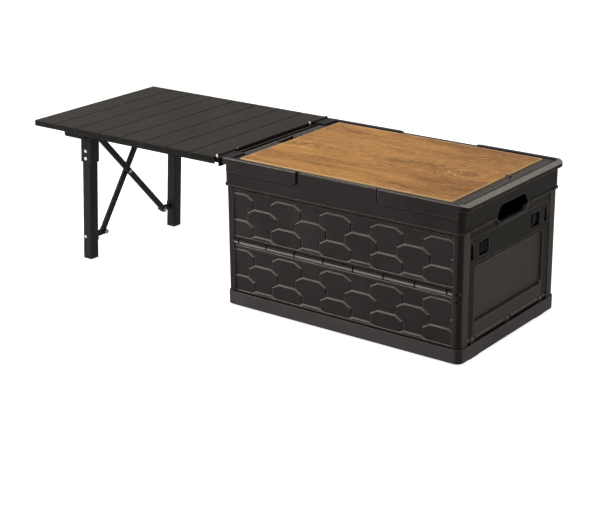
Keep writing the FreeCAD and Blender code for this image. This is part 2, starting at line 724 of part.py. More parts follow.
def end_cap(index):
    """A front end cap: flange, plug, and the round link to the next slat out."""
    x = slat_x(index)
    middle = (SLAB_LOW + TABLE_TOP) / 2
    inner = -CAP_END + CAP_FLANGE
    edge, wall = CAP_ROOM, SLAT_WALL + CAP_ROOM
    flange = block((x[0] + edge, x[1] - edge), (-CAP_END, inner), (SLAB_LOW + edge, TABLE_TOP - edge))
    flange = flange.makeFillet(SLAT_R, edges_along(flange, Y_AXIS))
    plug = block((x[0] + wall, x[1] - wall), (inner - CAP_ROOM, -CAP_END + CAP_PLUG),
                 (SLAB_LOW + wall, TABLE_TOP - wall))
    pieces = [flange, plug]
    out = x[0] - SLAT_GAP / 2
    if index < SLATS - 1:
        pieces.append(rod(LINK_R, (out, -TABLE_HALF_Y, middle), (out, inner, middle)))
    cap = joined(pieces)
    if index > 0:
        near = x[1] + SLAT_GAP / 2
        cap = cap.cut(rod(LINK_R + CAP_ROOM, (near, -TABLE_HALF_Y - 1, middle), (near, inner, middle)))
    return cap


def rail():
    """The front channel under the slats."""
    x = (TABLE_OUT + RAIL_INSET[0], TABLE_IN - RAIL_INSET[1])
    y = (-RAIL_Y[1], -RAIL_Y[0])
    low = SLAB_LOW - RAIL_DROP
    outer = block(x, y, (low, SLAB_LOW))
    across = (y[0] + RAIL_WALL, y[1] - RAIL_WALL)
    return outer.cut(block((x[0] - 1, x[1] + 1), across, (low - 1, SLAB_LOW - RAIL_WALL)))


def hinge_arm():
    """The front arm: a tongue under the innermost slats, and a heel up to the eye on the hinge pin."""
    eye_y = (-EYE_Y[1], -EYE_Y[0])
    under = SLAB_LOW - TONGUE_THICK
    tongue = block((TABLE_IN - TONGUE_LONG, TABLE_AXIS_X), (-TONGUE_Y[1], -TONGUE_Y[0]), (under, SLAB_LOW))
    heel = block((TABLE_IN, TABLE_AXIS_X), eye_y, (under, TABLE_AXIS_Z))
    return joined([tongue, heel, table_bar(EYE_R, EYE_Y)]).cut(table_bar(PIN_R + RUN, PIN_Y))


def table_bar(radius, y):
    """A round bar on the front part of the table's hinge axis, between two distances from the middle."""
    return rod(radius, (TABLE_AXIS_X, -y[1], TABLE_AXIS_Z), (TABLE_AXIS_X, -y[0], TABLE_AXIS_Z))


def hinge_bracket():
    """The front bracket on the crate's left lip: a hooked plate over the lip, a back plate and two ears."""
    wall = -RIM_HALF_X - BRACKET_THICK
    across = (-EARS_Y[1][1], -EARS_Y[0][0])
    pieces = [block((wall, -RIM_HALF_X), across, (BRACKET_LOW, BRACKET_TOP)), hinge_plate()]
    for ear in EARS_Y:
        pieces.append(block((TABLE_AXIS_X - EAR_R, -RIM_HALF_X), (-ear[1], -ear[0]), (EAR_LOW, TABLE_AXIS_Z)))
        pieces.append(table_bar(EAR_R, ear))
    return joined(pieces).cut(table_bar(PIN_R + FIT, PIN_Y))


def hinge_plate():
    """The front plate that lies over the lip and stands on the ledge in the corner of the well."""
    seat, inner = BRACKET_TOP - 1, -WELL_X + FOOT_ROOM
    slope = -RIM_HALF_X + (PLATE_LOW - LIP_OUT) * (RIM_HALF_X - WELL_X) / (RIM_TOP - LIP_OUT)
    over = [(PLATE_OUT, seat), (-RIM_HALF_X, seat), (-RIM_HALF_X, LIP_OUT), (slope, PLATE_LOW),
            (inner, PLATE_LOW), (inner, RIM_TOP), (PLATE_OUT, RIM_TOP)]
    plate = prism([V(x, -PLATE_Y[1], z) for x, z in over], V(0, PLATE_Y[1] - PLATE_Y[0], 0))
    front = -WELL_Y + FOOT_ROOM
    foot = block((inner, PLATE_IN), (front, -PLATE_Y[0]), (LEDGE[1], RIM_TOP))
    corner = [edge for edge in edges_along(foot, Z_AXIS)
              if edge.CenterOfMass.x < inner + 1 and edge.CenterOfMass.y < front + 1]
    return joined([plate, foot.makeFillet(INNER_CORNER, corner)])


def plate_seat():
    """What is cut from the front of the left lip so that the hinge plate lies flush with its ridge."""
    y = (-PLATE_Y[1] - FOOT_ROOM, -PLATE_Y[0] + FOOT_ROOM)
    return block((-RIM_HALF_X - 1, -WELL_X + 1), y, (PLATE_LOW, RIM_TOP + 1))


def headed_pin(radius, head, start, end):
    """A pin with a bevelled head at both ends, given as the head's radius and height."""
    head_r, high = head
    bevel = 0.6 * high
    way = (V(*end) - V(*start)).normalize()
    pieces = [rod(radius, start, end)]
    for point, out in ((V(*start), way * -1), (V(*end), way)):
        pieces.append(Part.makeCylinder(head_r, high - bevel, point, out))
        pieces.append(Part.makeCone(head_r, head_r - bevel, bevel, point + out * (high - bevel), out))
    return joined(pieces)


def side_table():
    for index in range(SLATS):
        save("slat_" + str(index + 1), slat(index))
    caps = Part.makeCompound([end_cap(index) for index in range(SLATS)])
    save("front_end_caps", caps)
    save("back_end_caps", mirrored(caps))
    ends = [(TABLE_AXIS_X, -y, TABLE_AXIS_Z) for y in PIN_Y]
    pieces = {"table_rail": rail(), "hinge_arm": hinge_arm(), "hinge_bracket": hinge_bracket(),
              "hinge_pin": headed_pin(PIN_R, PIN_HEAD, ends[1], ends[0]),
              "leg_bracket": leg_bracket(), "leg_pivot_pin": leg_pivot_pin()}
    for name, shape in pieces.items():
        save("front_" + name, shape)
        save("back_" + name, mirrored(shape))


# Folding legs: brackets and pins on the table, and the braced pair of legs that swings on them


def leg_bracket():
    """The front channel under the slats that a leg swings in, closed outward by a stop block."""
    x, low, high = LEG_BRACKET_X, LEG_BRACKET_LOW, SLAB_LOW - LEG_BRACKET_PLATE
    outer = CHEEK_GAP + CHEEK
    lip = outer + LEG_BRACKET_LIP
    plate = block(x, (-LEG_Y - lip, -LEG_Y + lip), (high, SLAB_LOW))
    cheeks = block(x, (-LEG_Y - outer, -LEG_Y + outer), (low, high + 1))
    feet = [edge for edge in edges_along(cheeks, Y_AXIS) if edge.CenterOfMass.z < low + 1]
    inside = (-LEG_Y - CHEEK_GAP, -LEG_Y + CHEEK_GAP)
    stop = LEG_X - SLEEVE_SIZE / 2 - 0.3
    slot = block((stop, x[1] + 1), inside, (low - 1, high))
    hollow = block((x[0] + 3, stop - 4), inside, (low + 3, high))
    bracket = joined([plate, cheeks.makeFillet(LEG_BRACKET_R, feet)])
    return without(bracket, [slot, hollow] + cross_holes(LEG_PIN_R + FIT, (LEG_AXIS_Z,)))


def leg_pivot_pin():
    """The front pin that carries a leg in its bracket and reaches into the cross tube."""
    out = LEG_Y + CHEEK_GAP + CHEEK
    shaft = rod(LEG_PIN_R, (LEG_X, -out, LEG_AXIS_Z), (LEG_X, -LEG_Y + PIVOT_REACH, LEG_AXIS_Z))
    head = Part.makeCylinder(*PIVOT_HEAD, V(LEG_X, -out, LEG_AXIS_Z), V(0, -1, 0))
    return joined([shaft, head])


def square_tube(size, wall, y, z):
    half = size / 2
    tube = block((LEG_X - half, LEG_X + half), (y - half, y + half), z)
    tube = tube.makeFillet(LEG_CORNER, edges_along(tube, Z_AXIS))
    inner = half - wall
    return tube.cut(block((LEG_X - inner, LEG_X + inner), (y - inner, y + inner), (z[0] - 1, z[1] + 1)))


def cross_holes(radius, heights, x=LEG_X):
    """Holes along Y through the front leg."""
    return [rod(radius, (x, -LEG_Y - 30, z), (x, -LEG_Y + 30, z)) for z in heights]


def leg(side):
    """The front (-1) or back (1) leg tube, pierced for its rivets."""
    tube = square_tube(LEG_SIZE, LEG_WALL, -LEG_Y, (FOOT_RISE, LEG_TOP))
    holes = cross_holes(RIVET_R + FIT, SLEEVE_RIVETS_Z)
    holes += cross_holes(RIVET_R + FIT, (STRUT_LOW[1],), tab_rivet_x(side))
    tube = without(tube, holes)
    return tube if side < 0 else mirrored(tube)


def sleeve():
    """The front leg's top sleeve, round over the pivot so that it turns under the table."""
    half = SLEEVE_SIZE / 2
    y = (-LEG_Y - half, -LEG_Y + half)
    shell = joined([block((LEG_X - half, LEG_X + half), y, (SLEEVE_LOW, LEG_AXIS_Z)),
                    rod(half, (LEG_X, y[0], LEG_AXIS_Z), (LEG_X, y[1], LEG_AXIS_Z))])
    inner = LEG_SIZE / 2 + 0.1
    top = LEG_AXIS_Z + LEG_BRACKET_R
    bore = block((LEG_X - inner, LEG_X + inner), (-LEG_Y - inner, -LEG_Y + inner), (SLEEVE_LOW - 1, top))
    holes = cross_holes(LEG_PIN_R + RUN, (LEG_AXIS_Z,)) + cross_holes(RIVET_R + FIT, SLEEVE_RIVETS_Z)
    return without(shell, [bore] + holes)


def foot():
    """The front foot: a plug with a flange under the tube, with length to spare for the level cut."""
    half = LEG_SIZE / 2
    inner = half - LEG_WALL - 0.1
    flange = block((LEG_X - half, LEG_X + half), (-LEG_Y - half, -LEG_Y + half), (-FOOT_SPARE, FOOT_RISE))
    flange = flange.makeFillet(LEG_CORNER, edges_along(flange, Z_AXIS))
    plug = block((LEG_X - inner, LEG_X + inner), (-LEG_Y - inner, -LEG_Y + inner), (FOOT_RISE - 1, FOOT_PLUG))
    return joined([flange, plug])


def leaning(shape):
    """A copy swung outward at the foot about the leg pivots, as the legs stand, and cut level at the floor."""
    copy = shape.copy()
    copy.rotate(V(LEG_X, 0, LEG_AXIS_Z), Y_AXIS, LEG_LEAN)
    ground = block((LEG_X - LEG_TOP, LEG_X + LEG_TOP), (-LEG_TOP, LEG_TOP), (-LEG_SIZE, 0))
    return copy.cut(ground) if copy.BoundBox.ZMin < 0 else copy


def tab_rivet_x(side):
    """Where the rivet of a strut tab stands, beside the tab's blade."""
    return LEG_X + min(-side * TAB_BLADE[0], side * TAB_BLADE[1]) - TAB_RIVET_HEAD[0] - TAB_ROOM


def strut_tab(side):
    """The tab on the inner face of the leg on one side that holds a strut's foot."""
    face = side * (LEG_Y - LEG_SIZE / 2)
    y, z = side * STRUT_LOW[0], STRUT_LOW[1]
    half = STRUT_WIDE / 2
    blade_x = (LEG_X - side * TAB_BLADE[0], LEG_X + side * TAB_BLADE[1])
    flange = block((LEG_X - TAB_HALF, LEG_X + TAB_HALF), (face, face - side * TAB_FLANGE),
                   (z - TAB_HALF, z + TAB_HALF))
    blade = block(blade_x, (face - side, y), (z - half, z + half))
    nose = rod(half, (blade_x[0], y, z), (blade_x[1], y, z))
    rivet_x = tab_rivet_x(side)
    holes = [rod(RIVET_R + FIT, (rivet_x, face + TAB_HALF, z), (rivet_x, face - TAB_HALF, z)),
             rod(STRUT_PIN_R + FIT, (LEG_X - TAB_HALF, y, z), (LEG_X + TAB_HALF, y, z))]
    return without(joined([flange, blade, nose]), holes)


def strut_points(side):
    """The foot and the head of the strut whose foot is on one side."""
    return (side * STRUT_LOW[0], STRUT_LOW[1]), (STRUT_HIGH_Y[side], LEG_AXIS_Z)


def strut_middle():
    """Where the two struts cross, as distance from the middle and height."""
    (y0, z0), (y1, z1) = strut_points(-1)
    (y2, z2), (y3, z3) = strut_points(1)
    rise = (y2 - y0) / ((y1 - y0) / (z1 - z0) - (y3 - y2) / (z3 - z2))
    return y0 + rise * (y1 - y0) / (z1 - z0), z0 + rise


def strut(side):
    """One of the crossed struts: a bar with a round foot and a collar on the cross tube."""
    (y0, z0), (y1, z1) = strut_points(side)
    length = math.hypot(y1 - y0, z1 - z0)
    middle = LEG_X + side * STRUT_OFFSET
    x = (middle - STRUT_THICK / 2, middle + STRUT_THICK / 2)
    bar = block(x, (-STRUT_WIDE / 2, STRUT_WIDE / 2), (0, length))
    bar = bar.makeFillet(STRUT_EDGE, edges_along(bar, Z_AXIS))
    bar.rotate(V(0, 0, 0), X_AXIS, math.degrees(math.atan2(y0 - y1, z1 - z0)))
    bar.translate(V(0, y0, z0))
    nose = rod(STRUT_WIDE / 2, (x[0], y0, z0), (x[1], y0, z0))
    half, room = COLLAR[1] / 2, cross_half()
    hub = max(-room + half, min(room - half, y1))
    collar = rod(COLLAR[0], (LEG_X, hub - half, z1), (LEG_X, hub + half, z1))
    bar = bar.common(block(x, (-room, room), (0, LEG_TOP + LEG_SIZE)))
    holes = [rod(CROSS_R + FIT, (LEG_X, -LEG_Y, z1), (LEG_X, LEG_Y, z1))]
    for y, z in ((y0, z0), strut_middle()):
        holes.append(rod(STRUT_PIN_R + FIT, (LEG_X - LEG_SIZE, y, z), (LEG_X + LEG_SIZE, y, z)))
    return without(joined([bar, nose, collar]), holes)


def cross_half():
    """Half the length of the tube between the leg brackets."""
    return LEG_Y - CHEEK_GAP - CHEEK - 1


def cross_tube():
    """The tube between the brackets that the struts' collars hold."""
    half = cross_half()
    bore = LEG_PIN_R + RUN
    tube = rod(CROSS_R, (LEG_X, -half, LEG_AXIS_Z), (LEG_X, half, LEG_AXIS_Z))
    return tube.cut(rod(bore, (LEG_X, -half - 1, LEG_AXIS_Z), (LEG_X, half + 1, LEG_AXIS_Z)))


def strut_pin(y, z):
    """A pin along X through a strut's foot or through the crossing."""
    reach = STRUT_OFFSET + STRUT_THICK / 2
    return headed_pin(STRUT_PIN_R, STRUT_PIN_HEAD, (LEG_X - reach, y, z), (LEG_X + reach, y, z))


def sleeve_rivet(y, z):
    """A rivet along Y through a leg and its sleeve."""
    half = SLEEVE_SIZE / 2
    return headed_pin(RIVET_R, RIVET_HEAD, (LEG_X, y - half, z), (LEG_X, y + half, z))


def tab_rivet(side):
    """A rivet along Y through a leg and the flange of its strut tab."""
    outer = side * (LEG_Y + LEG_SIZE / 2)
    inner = side * (LEG_Y - LEG_SIZE / 2 - TAB_FLANGE)
    z = STRUT_LOW[1]
    x = tab_rivet_x(side)
    return headed_pin(RIVET_R, TAB_RIVET_HEAD, (x, outer, z), (x, inner, z))


def folding_legs():
    spots = [(-STRUT_LOW[0], STRUT_LOW[1]), strut_middle(), STRUT_LOW]
    rivets = [sleeve_rivet(side * LEG_Y, z) for side in (-1, 1) for z in SLEEVE_RIVETS_Z]
    pieces = {"leg_cross_tube": cross_tube(),
              "strut_pins": Part.makeCompound([strut_pin(y, z) for y, z in spots]),
              "sleeve_rivets": Part.makeCompound(rivets),
              "strut_tab_rivets": Part.makeCompound([tab_rivet(side) for side in (-1, 1)])}
    for end, side in (("front", -1), ("back", 1)):
        pieces[end + "_leg"] = leg(side)
        pieces[end + "_leg_sleeve"] = sleeve() if side < 0 else mirrored(sleeve())
        pieces[end + "_leg_foot"] = foot() if side < 0 else mirrored(foot())
        pieces[end + "_strut_tab"] = strut_tab(side)
        pieces[end + "_strut"] = strut(side)
    for name, shape in pieces.items():
        save(name, leaning(shape))


os.makedirs("parts", exist_ok=True)
save("base_tray", base_tray())
long_walls()
end_walls()
save("top_frame", top_frame())
save("lid_tray", lid_tray())
save("wood_board", wood_board())
side_table()
folding_legs()
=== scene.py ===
import bpy
import json
import math
from mathutils import Matrix, Vector


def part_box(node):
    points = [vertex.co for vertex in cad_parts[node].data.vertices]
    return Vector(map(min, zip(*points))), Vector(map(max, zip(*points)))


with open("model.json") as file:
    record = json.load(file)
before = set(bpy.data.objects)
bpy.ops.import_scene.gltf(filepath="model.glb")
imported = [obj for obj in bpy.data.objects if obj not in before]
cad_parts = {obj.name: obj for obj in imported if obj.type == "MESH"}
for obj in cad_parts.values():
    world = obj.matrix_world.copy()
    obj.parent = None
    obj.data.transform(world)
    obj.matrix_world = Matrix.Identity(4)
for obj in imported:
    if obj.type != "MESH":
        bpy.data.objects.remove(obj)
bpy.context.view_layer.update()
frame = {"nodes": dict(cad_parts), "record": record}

# Looks of the camping box table. Metres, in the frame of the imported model.

# Camera, fitted to the photograph's 600 by 518 frame: angles in degrees
IMAGE_WIDE = 600
FOCAL_PIXELS = 1515.4
SENSOR = 36.0
CAMERA_PLACE = (1.9563, -2.5272, 1.2043)
CAMERA_TURN = 37.28
CAMERA_DOWN = 19.86
CAMERA_ROLL = -0.72
CAMERA_REACH = 200.0

# The surround's light, which falls off towards the dark side between two cosines of the direction
SKY_LIGHT = 0.28
SKY_DARK = 0.02
DARK_SIDE = (0.92, -0.38, 0.10)
SKY_FALL = (0.10, 0.90)

# The floor lies just under the feet, so that no face of theirs shares its plane
STAGE_HALF = 30.0
FLOOR_DROP = 0.0005
FLOOR_COLOUR = (0.80, 0.80, 0.80)
FLOOR_GLOW = 0.85

# The lamps: name, place, the point that it faces, width, and power in watts
LAMPS = (
    ("overhead", (-0.6, 0.5, 2.3), (0.1, 0.0, 0.2), 1.6, 11.5),
    ("front_left", (-1.5, -1.3, 1.5), (0.0, 0.0, 0.15), 1.0, 38.0),
    ("right_low", (2.2, -0.4, 0.5), (0.5, 0.0, 0.15), 0.8, 8.0),
    ("behind", (0.1, 2.2, 1.9), (0.3, 0.0, 0.3), 0.9, 10.0),
)

# Rays of the edge and gap masks, the widest gap that fills with shadow, and a reach past the object
MASK_RAYS = 6
GAP_REACH = 0.007
FAR = 1.0

# Cosines: the turn over which an edge shows, and the turn over which a face comes to look along an axis
EDGE_TURN = (0.995, 0.86)
AXIS_TURN = (0.90, 0.98)

# Depths of the fine relief: plastic grain, the coat's orange peel, turning marks, wood fibres and pores
GRAIN_DEEP = 0.00012
PEEL_DEEP = 0.00008
TURNING_DEEP = 0.00003
FIBRE_DEEP = 0.00010
PORE_DEEP = 0.00008

# Roughness from the smoothest to the roughest spot, and how much rougher a coat gets
PLASTIC_ROUGH = (0.46, 0.58)
STEEL_ROUGH = (0.22, 0.40)
WOOD_ROUGH = (0.48, 0.62)
COAT_ROUGHER = 0.12

# The crate's plastic: screen tones, the last both the edges' wear and a painted highlight on edges and upward
# slopes, the worn, rounded edge, the shine, and the steps by which the base is painted paler as painted light
CRATE_DARK = (52, 47, 46)
CRATE_LIGHT = (64, 58, 57)
CRATE_WEAR_AND_HIGHLIGHT = (160, 151, 146)
CRATE_EDGE = 0.0015
CRATE_SHINE = 0.025
BASE_PAINTED_LIGHT = 24

# Steel: screen tones of its bright and its dull spots, its rounded edge, and the shade of the strut pins
STEEL_BRIGHT = (205, 203, 198)
STEEL_DULL = (160, 157, 150)
STEEL_EDGE = 0.0004
PIN_SHADE = 0.6

# The board's grain: cycles per metre along X and Y, shift, detail, roughness and distortion of each layer
GRAIN_LAYERS = {
    "broad": ((2.6, 15.0, 0.0), (0.3, 0.7, 0.0), 3.0, 0.55, 0.7),
    "streak": ((5.0, 62.0, 0.0), (0.0, 0.0, 0.0), 5.0, 0.62, 0.6),
    "fibre": ((16.0, 330.0, 0.0), (0.0, 0.0, 0.0), 4.0, 0.65, 0.0),
    "fleck": ((46.0, 360.0, 0.0), (0.5, 0.2, 0.0), 2.0, 0.5, 0.8),
    "pore": ((22.0, 260.0, 0.0), (0.1, 0.9, 0.0), 3.0, 0.5, 0.0),
}

# How the grain sways from side to side: cycles per metre, and how far
SWAY_CYCLES = (3.0, 7.0, 0.0)
GRAIN_SWAY = 0.03

# The board's knot: place from the middle of the board, size, reach in sizes, rings per size, how far the
# streaks push the rings about, and how strongly the grain bows round it
KNOT = (0.187, -0.006)
KNOT_SIZE = (0.060, 0.036)
KNOT_REACH = 2.2
KNOT_RINGS = 13.0
RING_WANDER = 7.0
KNOT_BOW = 0.75

# The board's rounded edge, the pale stretch beside it with its soft border, and the shine
WOOD_ROUND = 0.0016
WOOD_EDGE = 0.0030
WOOD_EDGE_SOFT = 0.0006
WOOD_SHINE = 0.06

# The stretch of an end wall's height that its sunk panel takes, the wall beside it, and the soft border of
# the panel's painted sheen
PANEL_FOOT = 0.06
PANEL_SHARE = 0.66
PANEL_MARGIN = 0.024
PANEL_SOFT = 0.006

# The painted shade in the gap between the lid and the end lips: its width, how far inside the lid's edge its
# marks set in, its border, and the height over which the right lip's painted highlight sets in
LIP_GAP = 0.0034
LIP_INSIDE = 0.001
LIP_GAP_SOFT = 0.0006
LIP_RISE = 0.004

# The lid's rubbed outer edge and its border
LID_EDGE = 0.0022
LID_EDGE_SOFT = 0.0005

# Half the length of a long rim's finger dip, and the shadow at each end of the dip: its length, its depth,
# and the borders along the rim, upward and outward
DIP_HALF = 0.101
DIP_SHADE = 0.005
DIP_DEEP = 0.026
DIP_SOFT = 0.0008
DIP_RISE = 0.008
DIP_OUTWARD = 0.004

# The middle hinge: its barrel's reach along X and height, the lit and the shadowed stretch of its height with
# their strength and border, the pitch of its knuckles, and half the width of the slit between two
BARREL_HALF = 0.271
BARREL_TALL = 0.012
BARREL_LIT = (0.0006, 0.0062)
BARREL_SHADE = (0.0075, 0.0130)
LIT_STRENGTH = 0.9
SHADE_STRENGTH = 0.8
BARREL_SOFT = 0.0012
KNUCKLE_PITCH = 0.0739
SLIT_HALF = 0.0013

# The border of the slits, of the barrel's ends and of the holes in the posts
HINGE_SOFT = 0.001

# The two dark holes in each corner post beside the middle hinge: out from the crate's middle, up from the
# barrel's underside, and the radius
POST_HOLE_OUT = 0.281
POST_HOLES_UP = (-0.011, 0.0055)
POST_HOLE_SIZE = 0.0034


def colour(red, green, blue):
    """A colour given as it shows on a screen, 0 to 255, as the linear values that shaders use."""
    linear = []
    for value in (red, green, blue):
        part = value / 255
        linear.append(part / 12.92 if part <= 0.04045 else ((part + 0.055) / 1.055) ** 2.4)
    return (*linear, 1.0)


# Tones of the marks and of the board: painted shade; the lip's grain, pale where it is a painted highlight;
# painted highlights on the ledges and the hinge barrel; a painted sheen; olive painted shade on end faces;
# and the wood
PAINTED_SHADE_TONE = colour(9, 8, 8)
LIP_DARK = colour(112, 105, 97)
LIP_PALE = colour(172, 164, 153)
LEDGE_HIGHLIGHT_TONE = colour(176, 167, 161)
BARREL_HIGHLIGHT_TONE = colour(166, 157, 152)
PAINTED_SHEEN_TONE = colour(73, 68, 61)
END_SHADE_TONE = colour(37, 35, 31)
WOOD_LIGHT = colour(198, 140, 72)
WOOD_MID = colour(144, 93, 40)
WOOD_DEEP = colour(96, 57, 20)
WOOD_CREAM = colour(232, 190, 132)


class Graph:
    """A node tree, with short calls for the nodes that the finishes and the stage share."""

    def __init__(self, tree):
        self.tree = tree

    def add(self, kind, **settings):
        node = self.tree.nodes.new(kind)
        for name, value in settings.items():
            setattr(node, name, value)
        return node

    def link(self, source, target):
        self.tree.links.new(source, target)

    def feed(self, value, target):
        """Link a socket, or set a plain value."""
        if isinstance(value, bpy.types.NodeSocket):
            self.link(value, target)
        else:
            target.default_value = value

    def show(self, shader):
        """Make a shader the material's surface."""
        self.link(shader, self.add("ShaderNodeOutputMaterial").inputs["Surface"])

    def math(self, operation, first, second=0.0, third=0.0):
        node = self.add("ShaderNodeMath", operation=operation)
        for value, target in zip((first, second, third), node.inputs):
            self.feed(value, target)
        return node.outputs["Value"]

    def product(self, first, *others):
        """Several values multiplied."""
        for value in others:
            first = self.math("MULTIPLY", first, value)
        return first

    def apart(self, value, place):
        """How far a value is from a place, to either side."""
        return self.math("ABSOLUTE", self.math("SUBTRACT", value, place))

    def measure(self, operation, *vectors):
        """A number made from one or two vectors, such as a length."""
        node = self.add("ShaderNodeVectorMath", operation=operation)
        for value, target in zip(vectors, node.inputs):
            self.feed(value, target)
        return node.outputs["Value"]

    def join(self, first, second):
        """A vector along X and Y."""
        node = self.add("ShaderNodeCombineXYZ")
        self.feed(first, node.inputs["X"])
        self.feed(second, node.inputs["Y"])
        return node.outputs["Vector"]

    def split(self, vector):
        parts = self.add("ShaderNodeSeparateXYZ")
        self.link(vector, parts.inputs["Vector"])
        return parts.outputs["X"], parts.outputs["Y"], parts.outputs["Z"]

    def spread(self, value, low, high, new_low=0.0, new_high=1.0):
        """A value's range from low to high, mapped to another range and held inside it."""
        node = self.add("ShaderNodeMapRange")
        settings = {"Value": value, "From Min": low, "From Max": high, "To Min": new_low, "To Max": new_high}
        for name, setting in settings.items():
            self.feed(setting, node.inputs[name])
        return node.outputs["Result"]

    def band(self, value, low, high, soft):
        """1 where a value lies between low and high, and 0 outside, with soft borders."""
        return self.product(self.spread(value, low - soft, low), self.spread(value, high + soft, high))


class Finish(Graph):
    """A material with one shader, painted in its node's own coordinates."""

    def __init__(self, name):
        self.material = bpy.data.materials.new(name)
        self.material.use_nodes = True
        super().__init__(self.material.node_tree)
        self.tree.nodes.clear()
        self.here = self.add("ShaderNodeTexCoord").outputs["Object"]

    def placed(self, scale, offset=(0, 0, 0), source=None):
        """The node's own coordinates, or another vector, stretched and moved."""
        mapping = self.add("ShaderNodeMapping")
        self.link(source or self.here, mapping.inputs["Vector"])
        mapping.inputs["Scale"].default_value = scale
        mapping.inputs["Location"].default_value = offset
        return mapping.outputs["Vector"]

    def noise(self, vector, scale=1.0, detail=3.0, rough=0.5, bend=0.0):
        node = self.add("ShaderNodeTexNoise")
        self.link(vector, node.inputs["Vector"])
        node.inputs["Scale"].default_value = scale
        node.inputs["Detail"].default_value = detail
        node.inputs["Roughness"].default_value = rough
        node.inputs["Distortion"].default_value = bend
        return node.outputs["Fac"]

    def mix(self, factor, first, second):
        node = self.add("ShaderNodeMix", data_type="RGBA")
        self.feed(factor, node.inputs["Factor"])
        self.feed(first, node.inputs["A"])
        self.feed(second, node.inputs["B"])
        return node.outputs["Result"]

    def stain(self, tone, other, value, low, high, amount=1.0):
        """A tone, and the given amount of another one where a value goes from low to high."""
        return self.mix(self.spread(value, low, high, 0.0, amount), tone, other)

    def bump(self, height, depth, strength, normal):
        """A fine relief on top of a direction."""
        node = self.add("ShaderNodeBump")
        self.link(height, node.inputs["Height"])
        self.link(normal, node.inputs["Normal"])
        node.inputs["Distance"].default_value = depth
        node.inputs["Strength"].default_value = strength
        return node.outputs["Normal"]

    def face_normal(self):
        return self.add("ShaderNodeNewGeometry").outputs["True Normal"]

    def facing(self):
        """The three parts of a face's direction, in its own node's axes."""
        turn = self.add("ShaderNodeVectorTransform", vector_type="NORMAL",
                        convert_from="WORLD", convert_to="OBJECT")
        self.link(self.face_normal(), turn.inputs["Vector"])
        return self.split(turn.outputs["Vector"])

    def rounded(self, radius):
        """The surface's direction, rounded over sharp edges."""
        bevel = self.add("ShaderNodeBevel", samples=MASK_RAYS)
        bevel.inputs["Radius"].default_value = radius
        return bevel.outputs["Normal"]

    def rim(self, direction):
        """1 on edges, where a rounded direction leaves the face's own one, and 0 elsewhere."""
        return self.spread(self.measure("DOT_PRODUCT", direction, self.face_normal()), *EDGE_TURN)

    def open_air(self):
        """1 on open surfaces, falling towards 0 in narrow gaps and corners."""
        node = self.add("ShaderNodeAmbientOcclusion", samples=MASK_RAYS)
        node.inputs["Distance"].default_value = GAP_REACH
        return node.outputs["AO"]

    def inside(self, low, high, soft):
        """1 inside a box of the node's own coordinates, and 0 outside."""
        sides = zip(self.split(self.here), low, high)
        return self.product(*(self.band(value, start, end, soft) for value, start, end in sides))

    def border(self, low, high, width, soft):
        """1 along the upright sides of a box, as far in as the width, and 0 in its middle."""
        inset = Vector((width, width, -FAR))
        return self.math("SUBTRACT", 1.0, self.inside(Vector(low) + inset, Vector(high) - inset, soft))

    def end_faces(self):
        """1 on faces that look along X, towards either end of the crate."""
        return self.spread(self.math("ABSOLUTE", self.facing()[0]), *AXIS_TURN)

    def done(self, base, rough, normal, shine=0.5, metallic=0.0):
        """The material, with its shader set."""
        shader = self.add("ShaderNodeBsdfPrincipled")
        self.link(base, shader.inputs["Base Color"])
        self.link(rough, shader.inputs["Roughness"])
        self.link(normal, shader.inputs["Normal"])
        shader.inputs["Specular IOR Level"].default_value = shine
        shader.inputs["Metallic"].default_value = metallic
        self.show(shader.outputs["BSDF"])
        return self.material


def moulded_plastic(name, dark, light, worn, edge, shine, slope_highlight=False, under=None, over=None):
    """Matte moulded plastic with a fine grain, worn edges that also carry a painted highlight, and painted
    shade in gaps.

    The tone drifts from dark to light, and painted shade deepens it on faces that look between X and Y. Edges
    have the worn tone, as wear and as a painted highlight, and slopes that face up get it too, as a painted
    highlight, if slope_highlight is set. Painted shade darkens narrow gaps and corners. The marks of under
    are painted below this wear, and the marks of over on top of it.
    """
    g = Finish(name)
    drift = g.noise(g.here, scale=9.0, detail=4.0)
    grain = g.noise(g.here, scale=900.0, detail=2.0)
    rub = g.noise(g.here, scale=45.0, detail=5.0, rough=0.65)
    tone = g.stain(dark, light, drift, 0.3, 0.7)
    tone = g.stain(tone, light, grain, 0.35, 0.75, amount=0.25)
    if under is not None:
        tone = under(g, tone)
    right, back, up = g.facing()
    # Painted shade: faces that look between X and Y, such as rounded corners, are darkened.
    between = g.math("ABSOLUTE", g.product(right, back))
    tone = g.stain(tone, PAINTED_SHADE_TONE, between, 0.10, 0.40, amount=0.6)
    normal = g.rounded(edge)
    rim = g.rim(normal)
    # The worn tone on edges, as wear and as a painted highlight.
    tone = g.mix(g.product(rim, g.spread(rub, 0.35, 0.7, 0.35, 1.0)), tone, worn)
    # Painted highlight on slopes that face up, patchy and stronger near edges.
    if slope_highlight:
        slopes = g.band(up, 0.42, 0.80, 0.12)
        patches = g.spread(rub, 0.3, 0.6, 0.7, 1.0)
        more_on_edges = g.spread(rim, 0.0, 1.0, 0.6, 1.0)
        tone = g.mix(g.product(slopes, patches, more_on_edges), tone, worn)
    # Painted shade in narrow gaps and corners.
    tone = g.stain(tone, PAINTED_SHADE_TONE, g.open_air(), 0.85, 0.30, amount=0.9)
    if over is not None:
        tone = over(g, tone)
    rough = g.spread(drift, 0.2, 0.8, *PLASTIC_ROUGH)
    return g.done(tone, rough, g.bump(grain, GRAIN_DEEP, 0.6, normal), shine)


